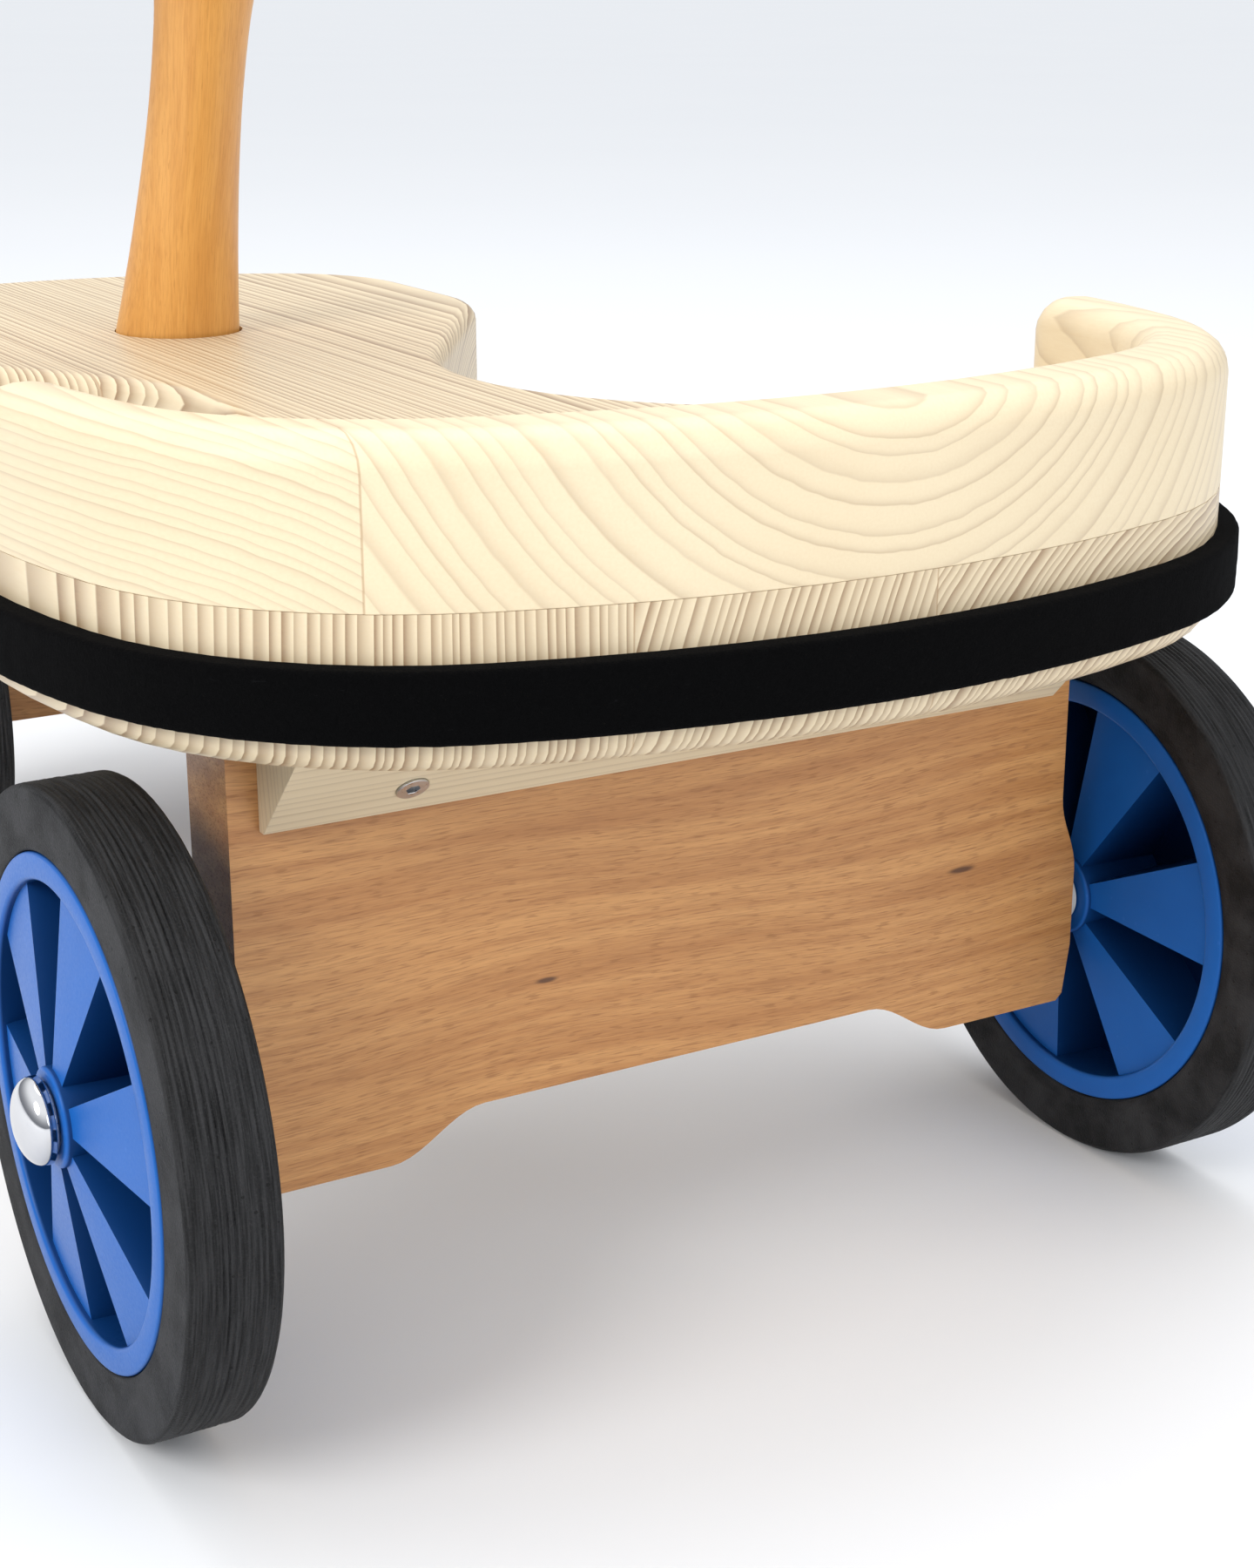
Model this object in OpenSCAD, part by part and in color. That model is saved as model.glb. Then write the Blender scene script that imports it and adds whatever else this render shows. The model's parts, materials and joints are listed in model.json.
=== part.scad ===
// Wooden four-wheeled balance ride-on for a toddler: a waisted plank body with a low rim behind the
// seat, a felt bumper strip round its tail, and a leaning post that steers a narrow front axle.
// Origin: on the floor, under the middle of the body. +X is the rider's right, +Y is forward.

/* [Body] */
// Distance between the rear and the front axle
wheelbase = 385; // [330:1:470]
// Body behind the rear axle
rear_overhang = 96; // [88:1:120]
// Body ahead of the front axle
front_overhang = 123; // [110:1:150]
// Greatest width of the body, over its rear corners
body_w = 320; // [310:1:390]
// Width across the front lobe
lobe_w = 260; // [230:1:300]
// Width of the narrow waist between the rider's legs
waist_w = 92; // [72:1:112]
// Distance of the waist ahead of the rear axle
waist_y = 193; // [170:1:210]
// Radius of the two rear corners
corner_r = 94; // [80:1:100]
// Radius of the gently bowed sides beside the seat
side_r = 250; // [220:1:320]
// Direction in which the rear corner runs into the bowed side, in degrees
side_turn = 15; // [10:1:20]
// Widest point of the body, ahead of the rear axle
side_y = 48; // [40:1:56]
// Radius of the corner where the side turns in to the waist
wing_r = 44; // [36:1:54]
// Radius of the lobe's rear corners
lobe_rear_r = 70; // [50:1:76]
// Radius of the lobe's front corners
lobe_front_r = 60; // [50:1:66]
// Widest point of the front lobe, behind the front axle
lobe_back = 7; // [0:1:14]
// How far the nose bows out ahead of the lobe's front corners
nose_bow = 18; // [14:1:22]
// Thickness of the seat plate
plate_t = 34.5; // [28:0.5:42]
// Underside of the seat plate above the axles
plate_rise = 94; // [92:0.5:127.5]
// Rounding of the seat plate's edges
plate_round = 6; // [2:0.5:9]

/* [Rim] */
// Height of the rim above the seat
rim_h = 36.5; // [28:0.5:44]
// Thickness of the rim behind the rider
rim_back_t = 28; // [23:1:34]
// Thickness of the rim's arms
rim_arm_t = 20; // [16:1:24]
// Front ends of the arms, ahead of the rear axle
rim_arm_y = 38; // [20:1:44]
// Rounding of the rim's upper edges
rim_round = 8; // [3:0.5:9]
// Rounding of the arms' front ends
rim_end_round = 14; // [8:1:16]

/* [Bumper] */
// Height of the felt strip
felt_h = 16; // [10:1:20]
// Thickness of the felt strip
felt_t = 6; // [3:0.5:8]
// Height of the felt strip's lower edge above the plate's underside
felt_lift = 8; // [6.5:0.5:12]
// How far round the front of the body's sides the felt strip runs, in degrees
felt_turn = 66; // [20:1:70]

/* [Wheels] */
// Outer diameter of a tyre
wheel_d = 155; // [125:1:158]
// Width of a tyre
tyre_w = 22; // [18:1:26]
// Rounding of the tyre's shoulders
tyre_shoulder = 1.8; // [1:0.2:5]
// Outer diameter of the hub's two flanges
hub_flange_d = 123; // [104:1:128]
// Depth of rubber hidden behind the flanges
tyre_bead = 3.4; // [2:0.2:4]
// Thickness of the hub's rim
hub_wall = 3.3; // [2.4:0.1:4]
// Thickness of the hub's corrugated disc
web_t = 2.4; // [1.8:0.1:3]
// Number of wedges on each face of the hub
wedge_n = 6; // [4:1:8]
// Depth of the wedges behind the flange at their outer end
wedge_inset = 2; // [1:0.5:4]
// Diameter of the hub's boss
boss_d = 24; // [20:1:28]
// Boss beyond the tyre's outer face
boss_proud = 4.5; // [2:0.5:6]
// Diameter of the axle rods
axle_d = 8; // [6:0.5:10]
// Diameter of the domed cap on an axle's end
cap_d = 21; // [17:1:24]
// Height of the domed cap
cap_h = 7; // [5:0.5:9]
// Distance between the middles of the rear tyres
rear_track = 296.6; // [286:0.2:320]
// Distance between the middles of the front tyres
front_track = 180; // [170:1:200]

/* [Axle boards] */
// Thickness of the beech axle boards
board_t = 25; // [20:1:30]
// Gap between a board's end and the tyre beside it
board_gap = 10.3; // [8:0.1:14]
// Step in of the boards' upper ends
board_step = 5.5; // [0.5:0.5:10]
// Height above the axle at which the boards' ends step in
board_step_z = 12; // [8:1:20]
// Depth of the rear board's feet below its axle
rear_foot = 27; // [21.5:0.5:35.5]
// Rise of the arch between the rear board's feet
arch_h = 11; // [0:1:16]
// Half width of the rear arch where it is level
arch_w = 58; // [40:1:66]
// Depth of the front board below its axle
front_foot = 15.5; // [10:0.5:24]
// Run of the arch's curved ends
arch_run = 26; // [14:1:30]
// Height of the triangular cleats
cleat_h = 29; // [20:1:32]
// Depth of the cleats at the top
cleat_d = 30; // [16:1:34]
// Depth of the cleats at their lower edge
cleat_lip = 2.5; // [1:0.5:5]
// Step in of a cleat from its board's end
cleat_inset = 7.5; // [4:0.5:20]

/* [Steering] */
// Backward lean of the steering post, in degrees
lean = 20; // [12:1:22]
// Diameter of the post's foot in the seat plate
foot_d = 44; // [38:1:50]
// Depth of the foot's seat, on the post's axis
foot_depth = 14; // [13:1:16]
// Diameter of the post at its slimmest point
neck_d = 30.8; // [27:0.2:36]
// Slimmest point of the post, above the front axle along the post
neck_z = 228; // [215:1:240]
// Diameter of the post's head
head_d = 44; // [40:1:52]
// Handles above the front axle, along the post
bar_z = 310; // [302:1:340]
// Length of a handle outside the post
grip_l = 118; // [90:1:140]
// Diameter of a handle
grip_d = 28; // [24:1:30]
// Diameter of a handle's tenon in the post
grip_tenon_d = 18; // [14:1:20]
// Diameter of the post's spindle inside the body
spindle_d = 26; // [20:1:28]
// Diameter of the tenon in the front board
tenon_d = 16; // [12:1:18]
// Length of the tenon in the front board
tenon_l = 38; // [25:1:44]
// Diameter of the turntable under the body
turntable_d = 96; // [80:1:100]
// Thickness of the turntable
turntable_t = 15; // [12:1:18]
// Depth of the wedge under the body on the post's axis
wedge_t = 19; // [18:1:22]
// Width of the wedge under the body
wedge_w = 96; // [80:1:110]
// Length of the wedge, front to back
wedge_l = 84; // [70:1:88]
// Thickness of a slide washer
slide_t = 1.5; // [1:0.5:2]

/* [Fixings] */
// Diameter of the dowels
dowel_d = 8; // [6:1:10]
// Length of the dowels
dowel_l = 32; // [24:1:40]
// Diameter of a screw's head
screw_head_d = 8; // [6:0.5:9]
// Diameter of a screw's shank
screw_d = 4; // [3:0.5:5]
// Length of a screw
screw_l = 30; // [22:1:34]
// Radial clearance of a part that turns on a shaft
run_gap = 0.05; // [0.02:0.01:0.1]
// Radial clearance round the post's foot
foot_gap = 0.3; // [0.2:0.1:0.6]
// End play between parts that turn against each other
end_play = 0.3; // [0.1:0.1:0.5]

/* [Hidden] */
$fn = 64;

wheel_r = wheel_d / 2;
flange_r = hub_flange_d / 2;
bead_r = flange_r - tyre_bead;
barrel_r = bead_r - hub_wall;
half_w = body_w / 2;
plate_z = wheel_r + plate_rise;
seat_z = plate_z + plate_t;
nose_y = wheelbase + front_overhang;
// The body and its bumper strip lie evenly before and behind the origin.
origin_y = -(nose_y - rear_overhang - felt_t) / 2;

// Outline of the body: a chain of arcs that run into each other without a kink, from the middle of
// the tail round the right side to the middle of the nose. Each point holds x, y and the direction
// in which the edge faces there.
outline_tol = 0.2;
function arc_steps(r, sweep) = max(2, ceil(abs(sweep) / (2 * acos(1 - outline_tol / r))));
function bulge(c, r, from, to) = let (n = arc_steps(r, to - from))
    [for (i = [0:n]) let (a = from + (to - from) * i / n) [c.x + r * cos(a), c.y + r * sin(a), a]];
function hollow(c, r, from, to) = let (n = arc_steps(r, to - from))
    [for (i = [0:n]) let (a = from + (to - from) * i / n) [c.x - r * cos(a), c.y - r * sin(a), a]];
function rest(list) = [for (i = [1:len(list) - 1]) list[i]];
function heading(from, to) = atan2(to.y - from.y, to.x - from.x);
// Radius of an arc centred on the middle line that meets a corner circle and the body's end.
function end_radius(cx, reach, r) = (cx * cx + reach * reach - r * r) / (2 * (reach - r));

side_c = [half_w - side_r, side_y];
corner_c = side_c + (side_r - corner_r) * [cos(side_turn), -sin(side_turn)];
tail_r = end_radius(corner_c.x, corner_c.y + rear_overhang, corner_r);
tail_c = [0, tail_r - rear_overhang];
tail_turn = heading(tail_c, corner_c);
wing_c = [half_w - wing_r, side_y];
waist_in = waist_w / 2 - wing_c.x;
waist_r = (waist_in * waist_in + pow(waist_y - side_y, 2) - wing_r * wing_r) / (2 * (wing_r - waist_in));
waist_c = [waist_w / 2 + waist_r, waist_y];
wing_turn = heading(wing_c, waist_c);
lobe_side_y = wheelbase - lobe_back;
lobe_rear_c = [lobe_w / 2 - lobe_rear_r, lobe_side_y];
flare = heading(waist_c, lobe_rear_c)
    - acos(-(lobe_rear_r + waist_r) / norm(lobe_rear_c - waist_c));
lobe_reach = lobe_front_r + nose_bow;
lobe_front_c = [lobe_w / 2 - lobe_front_r, nose_y - lobe_reach];
nose_r = end_radius(lobe_front_c.x, lobe_reach, lobe_front_r);
nose_c = [0, nose_y - nose_r];
nose_turn = heading(nose_c, lobe_front_c);

half_outline = concat(
    bulge(tail_c, tail_r, -90, tail_turn),
    rest(bulge(corner_c, corner_r, tail_turn, -side_turn)),
    rest(bulge(side_c, side_r, -side_turn, 0)),
    rest(bulge(wing_c, wing_r, 0, wing_turn)),
    rest(hollow(waist_c, waist_r, wing_turn, flare)),
    bulge(lobe_rear_c, lobe_rear_r, flare, 0),
    bulge(lobe_front_c, lobe_front_r, 0, nose_turn),
    rest(bulge(nose_c, nose_r, nose_turn, 90)));
function mirrored(list) = [for (i = [len(list) - 1:-1:0]) [-list[i].x, list[i].y, 180 - list[i].z]];
function trimmed(list) = [for (i = [1:len(list) - 2]) list[i]];
outline = concat(half_outline, trimmed(mirrored(half_outline)));
function moved_in(p, d) = [p.x - d * cos(p.z), p.y - d * sin(p.z)];

// A skin over a stack of rings that all have the same number of points. Point i of a ring lies
// across the middle from point n - i, so strips that run straight across close both ends.
module stacked(rings) {
    n = len(rings[0]);
    last = len(rings) - 1;
    sides = [for (k = [0:last - 1], i = [0:n - 1]) let (j = (i + 1) % n, a = k * n, b = a + n)
        each [[a + i, b + i, b + j], [a + i, b + j, a + j]]];
    strips = [for (i = [1:n / 2 - 2]) [i, i + 1, n - i - 1, n - i]];
    ends = concat([[0, 1, n - 1]], strips, [[n / 2 - 1, n / 2, n / 2 + 1]]);
    tops = [for (face = ends) [for (i = [len(face) - 1:-1:0]) last * n + face[i]]];
    polyhedron(points = [for (ring = rings) each ring], faces = concat(ends, sides, tops));
}

// Rounding of the plate's upper edge: none under the rim and on its way to the waist full.
function seat_round(p) = plate_round * max(0, min(1, (p.y - rim_arm_y) / 40));
round_steps = 4;

module plate_blank() {
    bow = [for (i = [0:round_steps]) i * 90 / round_steps];
    low = [for (a = bow) [for (p = outline)
        let (q = moved_in(p, plate_round * (1 - sin(a)))) [q.x, q.y, plate_z + plate_round * (1 - cos(a))]]];
    high = [for (a = bow) [for (p = outline)
        let (r = seat_round(p), q = moved_in(p, r * (1 - cos(a)))) [q.x, q.y, seat_z - r * (1 - sin(a))]]];
    stacked(concat(low, high));
}

// The rim: cross-sections stand on the outline from one arm's end round the tail to the other's.
arm_turn = asin((rim_arm_y - side_y) / side_r);
arm_start_turn = asin((rim_arm_y - rim_end_round - side_y) / side_r);
rim_path = concat(
    bulge(tail_c, tail_r, -90, tail_turn),
    rest(bulge(corner_c, corner_r, tail_turn, -side_turn)),
    rest(bulge(side_c, side_r, -side_turn, arm_start_turn)));
function rim_t(a) = rim_arm_t + (rim_back_t - rim_arm_t) * pow(abs(sin(a)), 2);
end_steps = 5;
rim_end_flat = 3;
rim_end_drop = 0.7 * rim_end_round;
// An arm's end: each step moves on along the arc, in from both sides and down from the top.
rim_end = [for (i = [1:end_steps]) let (u = i * 86 / end_steps,
    a = arm_start_turn + (arm_turn - arm_start_turn) * sin(u))
    [side_c.x + side_r * cos(a), side_c.y + side_r * sin(a), a,
        (1 - cos(u)) * (rim_arm_t - rim_end_flat) / 2, (1 - cos(u)) * rim_end_drop]];
rim_half = concat([for (p = rim_path) [p.x, p.y, p.z, 0, 0]], rim_end);
rim_other = [for (i = [len(rim_half) - 1:-1:1]) let (p = rim_half[i]) [-p.x, p.y, 180 - p.z, p[3], p[4]]];
rim_stations = concat(rim_other, rim_half);
function rim_section(s) = let (
    t = rim_t(s[2]) - s[3],
    r = min(rim_round, (t - s[3]) * 0.45),
    top = seat_z + rim_h - s[4],
    bow = [for (i = [0:round_steps]) i * 90 / round_steps],
    profile = concat([[s[3], seat_z]],
        [for (a = bow) [s[3] + r * (1 - cos(a)), top - r * (1 - sin(a))]],
        [for (i = [round_steps:-1:0]) [t - r * (1 - cos(bow[i])), top - r * (1 - sin(bow[i]))]],
        [[t, seat_z]]))
    [for (q = profile) [s.x - q.x * cos(s[2]), s.y - q.x * sin(s[2]), q.y]];

module rim_blank() {
    rings = [for (s = rim_stations) rim_section(s)];
    n = len(rings[0]);
    last = len(rings) - 1;
    sides = [for (k = [0:last - 1], i = [0:n - 1]) let (j = (i + 1) % n, a = k * n, b = a + n)
        each [[a + i, b + j, b + i], [a + i, a + j, b + j]]];
    ends = [[for (i = [n - 1:-1:0]) i], [for (i = [0:n - 1]) last * n + i]];
    polyhedron(points = [for (ring = rings) each ring], faces = concat(sides, ends));
}

// Places and frames
module in_body() translate([0, origin_y, 0]) children();
module at_steering() in_body() translate([0, wheelbase, wheel_r]) rotate([lean, 0, 0]) children();
under_a = plate_rise / cos(lean);
seat_a = (plate_rise + plate_t) / cos(lean);
foot_floor_a = seat_a - foot_depth;
foot_shoulder_a = foot_floor_a + slide_t + end_play;
wedge_face_a = under_a - wedge_t / cos(lean);
turntable_top_a = wedge_face_a - slide_t - end_play;
front_board_top_a = turntable_top_a - turntable_t;

// Dowels between the plate and the rim, and between the plate and the rear board
rim_dowel_turns = [-90, -55, -20];
rim_dowel_spots = [for (a = rim_dowel_turns, side = [-1, 1]) if (side > 0 || a > -90)
    let (c = a < tail_turn ? tail_c : corner_c, r = a < tail_turn ? tail_r : corner_r,
        q = moved_in([c.x + r * cos(a), c.y + r * sin(a), a], rim_t(a) / 2)) [side * q.x, q.y]];
board_dowel_xs = [-50, 0, 50];
dowel_end_gap = 0.5;
dowel_hole_d = dowel_d + 2 * run_gap;
dowel_hole_l = dowel_l + 2 * dowel_end_gap;
module dowel(d, l) cylinder(d = d, h = l, center = true);
module rim_dowel_set(d, l) for (q = rim_dowel_spots) translate([q.x, q.y, seat_z]) dowel(d, l);
module board_dowel_set(d, l) for (x = board_dowel_xs) translate([x, 0, plate_z]) dowel(d, l);

// Screws: the head's underside narrows to the shank at height 0, and the shank points down.
screw_head_h = screw_head_d * 0.32;
screw_rim_h = 0.6;
screw_top = screw_head_h + screw_rim_h;
screw_point_l = 3;
screw_drive_d = screw_head_d * 0.45;
screw_drive_depth = 2;
screw_sink_depth = 12;
module screw() {
    difference() {
        union() {
            cylinder(d1 = screw_d, d2 = screw_head_d, h = screw_head_h);
            translate([0, 0, screw_head_h]) cylinder(d = screw_head_d, h = screw_rim_h);
            translate([0, 0, screw_top - screw_l]) cylinder(d = screw_d, h = screw_l - screw_top);
            translate([0, 0, screw_top - screw_l - screw_point_l])
                cylinder(d1 = 0.2 * screw_point_l, d2 = screw_d, h = screw_point_l);
        }
        translate([0, 0, screw_top - screw_drive_depth]) cylinder(d = screw_drive_d, h = 3, $fn = 6);
    }
}
module screw_hole() {
    point = screw_point_l + dowel_end_gap;
    translate([0, 0, screw_top - screw_l - point]) cylinder(d = screw_d + 2 * run_gap, h = screw_l + point);
    translate([0, 0, -run_gap]) cylinder(d1 = screw_d, d2 = screw_head_d + 4 * run_gap, h = screw_head_h + run_gap);
    translate([0, 0, screw_head_h]) cylinder(d = screw_head_d + 4 * run_gap, h = screw_sink_depth);
}

// A cleat fills the corner between a board's face and what lies above it. Its frame: x along the
// board, y away from the board's face, z down from the face above.
module cleat_blank(l) translate([-l / 2, 0, 0]) rotate([90, 0, 90]) linear_extrude(l)
    polygon([[0, 0], [cleat_d, 0], [cleat_lip, -cleat_h], [0, -cleat_h]]);
cleat_slope = atan2(cleat_h, cleat_d - cleat_lip);
screw_drop = cleat_h * 0.73;
module on_cleat(x) translate([x, cleat_lip + (cleat_h - screw_drop) / tan(cleat_slope), -screw_drop])
    rotate([cleat_slope - 180, 0, 0]) translate([0, 0, -screw_head_h]) children();

// Rear board
rear_board_l = rear_track / 2 - tyre_w / 2 - board_gap;
function s_curve(from, to, n) = [for (i = [0:n]) let (u = i / n)
    [from.x + (to.x - from.x) * u, from.y + (to.y - from.y) * (1 - cos(180 * u)) / 2]];
function s_curve_up(from, to, n) = [for (i = [0:n]) let (u = i / n)
    [from.x + (to.x - from.x) * (1 - cos(180 * u)) / 2, from.y + (to.y - from.y) * u]];
// Both axle boards have ends that taper a little below the axle and step in above it. Only the
// rear one has feet with an arch between them. They are drawn with the axle at height 0.
function board_end(l, low, top) = concat(
    [[l - 2 * foot_chamfer, low], [l - foot_chamfer, low + foot_chamfer], [l, -foot_rise]],
    s_curve_up([l, board_step_z], [l - board_step, board_step_z + 4 * board_step], 8),
    [[l - board_step, top]]);
foot_chamfer = 2;
foot_rise = 1.3 * axle_d;
arch_curve = s_curve([arch_w, arch_h - rear_foot], [arch_w + arch_run, -rear_foot], 10);
module board_blank(edge) rotate([90, 0, 0]) linear_extrude(board_t, center = true)
    polygon(concat(edge, [for (i = [len(edge) - 1:-1:0]) [-edge[i].x, edge[i].y]]));
rear_cleat_l = 2 * (rear_board_l - board_step - cleat_inset);
// The screws of the two cleats miss each other inside the board.
screw_stagger = screw_head_d + 2;
rear_screw_inset = 34;
function rear_screw_xs(side) = let (x = rear_cleat_l / 2 - rear_screw_inset - (side < 0 ? 0 : screw_stagger))
    [-x, x];
module on_rear_board(side) translate([0, side * board_t / 2, plate_z])
    rotate([0, 0, side > 0 ? 0 : 180]) children();

// Front board, in the steering frame
front_board_l = front_track / 2 - tyre_w / 2 - board_gap;
front_cleat_l = 2 * (front_board_l - board_step - cleat_inset);
front_screw_inset = 9;
front_screw_stagger = screw_head_d - 1;
function front_screw_xs(side) =
    let (x = front_cleat_l / 2 - front_screw_inset - (side < 0 ? 0 : front_screw_stagger)) [-x, x];
module on_front_board(side) translate([0, side * board_t / 2, front_board_top_a])
    rotate([0, 0, side > 0 ? 0 : 180]) children();

// Post profile: radius at a height along the post
foot_slope = 4;
neck_start_a = seat_a - foot_slope;
head_start_a = bar_z - head_d / 2;
function post_r(a) = a < neck_z
    ? neck_d / 2 + (foot_d - neck_d) / 2 * pow(1 - (a - neck_start_a) / (neck_z - neck_start_a), 1.6)
    : neck_d / 2 + (head_d - neck_d) / 2 * pow((a - neck_z) / (head_start_a - neck_z), 3);
post_steps = 14;
head_top_a = bar_z + 20;
head_dome = 7;
post_profile = concat(
    [[0, front_board_top_a - tenon_l], [tenon_d / 2, front_board_top_a - tenon_l],
        [tenon_d / 2, front_board_top_a], [spindle_d / 2, front_board_top_a],
        [spindle_d / 2, foot_shoulder_a], [foot_d / 2, foot_shoulder_a]],
    [for (i = [0:post_steps]) let (a = neck_start_a + (neck_z - neck_start_a) * i / post_steps) [post_r(a), a]],
    [for (i = [1:post_steps]) let (a = neck_z + (head_start_a - neck_z) * i / post_steps) [post_r(a), a]],
    [for (u = [0:15:90]) [head_d / 2 - head_dome * (1 - cos(u)), head_top_a + head_dome * sin(u)]],
    [[0, head_top_a + head_dome]]);

// Wheel pieces: the axle lies along Z and the wheel's outer face looks to +Z.
outer_face = tyre_w / 2;
boss_out = outer_face + boss_proud;
flange_t = 2.2;
tyre_gap = 0.1;
tyre_lip = 0.4;
tyre_seat_z = outer_face - flange_t - 2 * tyre_gap;
module tyre_ring() rotate_extrude($fn = 96) polygon(concat(
    [[bead_r + run_gap, -tyre_seat_z], [bead_r + run_gap, tyre_seat_z],
        [flange_r + tyre_gap, tyre_seat_z], [flange_r + tyre_gap, outer_face - tyre_lip]],
    [for (u = [0:30:90]) [wheel_r - tyre_shoulder * (1 - sin(u)), outer_face - tyre_shoulder * (1 - cos(u))]],
    [for (u = [90:-30:0]) [wheel_r - tyre_shoulder * (1 - sin(u)), -outer_face + tyre_shoulder * (1 - cos(u))]],
    [[flange_r + tyre_gap, -outer_face + tyre_lip], [flange_r + tyre_gap, -tyre_seat_z]]));
// The corrugated disc runs from inside the boss to inside the hub's rim.
disc_in = boss_d / 2 - 1;
disc_out = barrel_r + 0.5;
boss_step = 1.5;
rib_gap = 0.1;
module web_profile() polygon([
    [disc_in, boss_out - boss_step - web_t], [disc_out, outer_face - wedge_inset - web_t],
    [disc_out, outer_face - wedge_inset], [disc_in, boss_out - boss_step]]);
module rib_profile() polygon([
    [disc_in, -boss_out + boss_step + rib_gap], [disc_out, -outer_face + wedge_inset + rib_gap],
    [disc_out, outer_face - wedge_inset - rib_gap], [disc_in, boss_out - boss_step - rib_gap]]);
wedge_turn = 180 / wedge_n;
module hub_body(phase) difference() {
    union() {
        rotate_extrude($fn = 96) polygon([[barrel_r, -outer_face], [flange_r, -outer_face],
            [flange_r, -outer_face + flange_t], [bead_r, -outer_face + flange_t],
            [bead_r, outer_face - flange_t], [flange_r, outer_face - flange_t],
            [flange_r, outer_face], [barrel_r, outer_face]]);
        cylinder(d = boss_d, h = 2 * boss_out, center = true);
        for (i = [0:wedge_n - 1]) rotate([0, 0, phase + i * 2 * wedge_turn - wedge_turn / 2]) {
            rotate_extrude(angle = wedge_turn, $fn = 96) web_profile();
            rotate([0, 0, wedge_turn]) rotate_extrude(angle = wedge_turn, $fn = 96) mirror([0, 1]) web_profile();
            for (a = [0, wedge_turn]) rotate([0, 0, a - 1]) rotate_extrude(angle = 2, $fn = 96) rib_profile();
        }
    }
    cylinder(d = axle_d + 2 * run_gap, h = 3 * boss_out, center = true);
}
spacer_l = board_gap - boss_proud - end_play;
spacer_d = 2 * axle_d;
washer_t = 1;
washer_d = 2.2 * axle_d;
module spacer_ring() translate([0, 0, -outer_face - board_gap]) difference() {
    cylinder(d = spacer_d, h = spacer_l);
    translate([0, 0, -1]) cylinder(d = axle_d + 2 * run_gap, h = spacer_l + 2);
}
module washer_ring() translate([0, 0, boss_out + end_play]) difference() {
    cylinder(d = washer_d, h = washer_t);
    translate([0, 0, -1]) cylinder(d = axle_d + 2 * run_gap, h = washer_t + 2);
}
cap_base = boss_out + end_play + washer_t;
cap_skirt = 1.5;
dome_h = cap_h - cap_skirt;
axle_reach = cap_base + cap_h * 0.6;
dome_r = (pow(cap_d / 2, 2) + pow(dome_h, 2)) / (2 * dome_h);
dome_turn = asin(cap_d / 2 / dome_r);
module cap_dome() translate([0, 0, cap_base]) difference() {
    rotate_extrude() polygon(concat([[0, 0], [cap_d / 2, 0]],
        [for (i = [0:8]) let (a = dome_turn * (1 - i / 8))
            [i == 8 ? 0 : dome_r * sin(a), cap_h - dome_r + dome_r * cos(a)]]));
    translate([0, 0, -1]) cylinder(d = axle_d + 2 * run_gap, h = 1 + cap_h * 0.65);
}

// Wheel places: side -1 is the rider's left
module at_wheel(track, y, side) in_body() translate([side * track / 2, y, wheel_r])
    mirror([side > 0 ? 0 : 1, 0, 0]) rotate([0, 90, 0]) children();
module at_rear(side) at_wheel(rear_track, 0, side) children();
module at_front(side) at_wheel(front_track, wheelbase, side) children();
// Turn of each hub's wedges on its axle, in degrees
rear_left_phase = -104;
rear_right_phase = -70;
front_left_phase = -82;
front_right_phase = -97;
module axle_rod(track) rotate([0, 90, 0]) cylinder(d = axle_d, h = track + 2 * axle_reach, center = true);
module axle_bore() rotate([0, 90, 0]) cylinder(d = axle_d + 2 * run_gap, h = 2 * body_w, center = true);

// Felt strip: it starts and ends where the body's sides have turned in to the waist
felt_half = concat(
    bulge(tail_c, tail_r, -90, tail_turn),
    rest(bulge(corner_c, corner_r, tail_turn, -side_turn)),
    rest(bulge(side_c, side_r, -side_turn, 0)),
    [for (p = rest(bulge(wing_c, wing_r, 0, wing_turn))) if (p.z <= felt_turn) p]);
felt_path = concat([for (i = [len(felt_half) - 1:-1:1]) [-felt_half[i].x, felt_half[i].y,
    180 - felt_half[i].z]], felt_half);
module felt_strip() translate([0, 0, plate_z + felt_lift]) linear_extrude(felt_h) polygon(concat(
    [for (p = felt_path) moved_in(p, -felt_t)],
    [for (i = [len(felt_path) - 1:-1:0]) moved_in(felt_path[i], 0)]));

// Wooden body
module seat_plate() color("wheat") in_body() difference() {
    plate_blank();
    rim_dowel_set(dowel_hole_d, dowel_hole_l);
    board_dowel_set(dowel_hole_d, dowel_hole_l);
    translate([0, wheelbase, wheel_r]) rotate([lean, 0, 0]) {
        cylinder(d = spindle_d + 2 * run_gap, h = bar_z);
        translate([0, 0, foot_floor_a]) cylinder(d = foot_d + 2 * foot_gap, h = 60);
        wedge_screw_set() screw_hole();
    }
    for (side = [-1, 1], x = rear_screw_xs(side)) on_rear_board(side) on_cleat(x) screw_hole();
}
module backrest_rim() color("moccasin") in_body() difference() {
    rim_blank();
    rim_dowel_set(dowel_hole_d, dowel_hole_l);
}
module rim_dowels() color("tan") in_body() rim_dowel_set(dowel_d, dowel_l);
module felt_bumper() color([0.05, 0.05, 0.06]) in_body() felt_strip();

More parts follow.
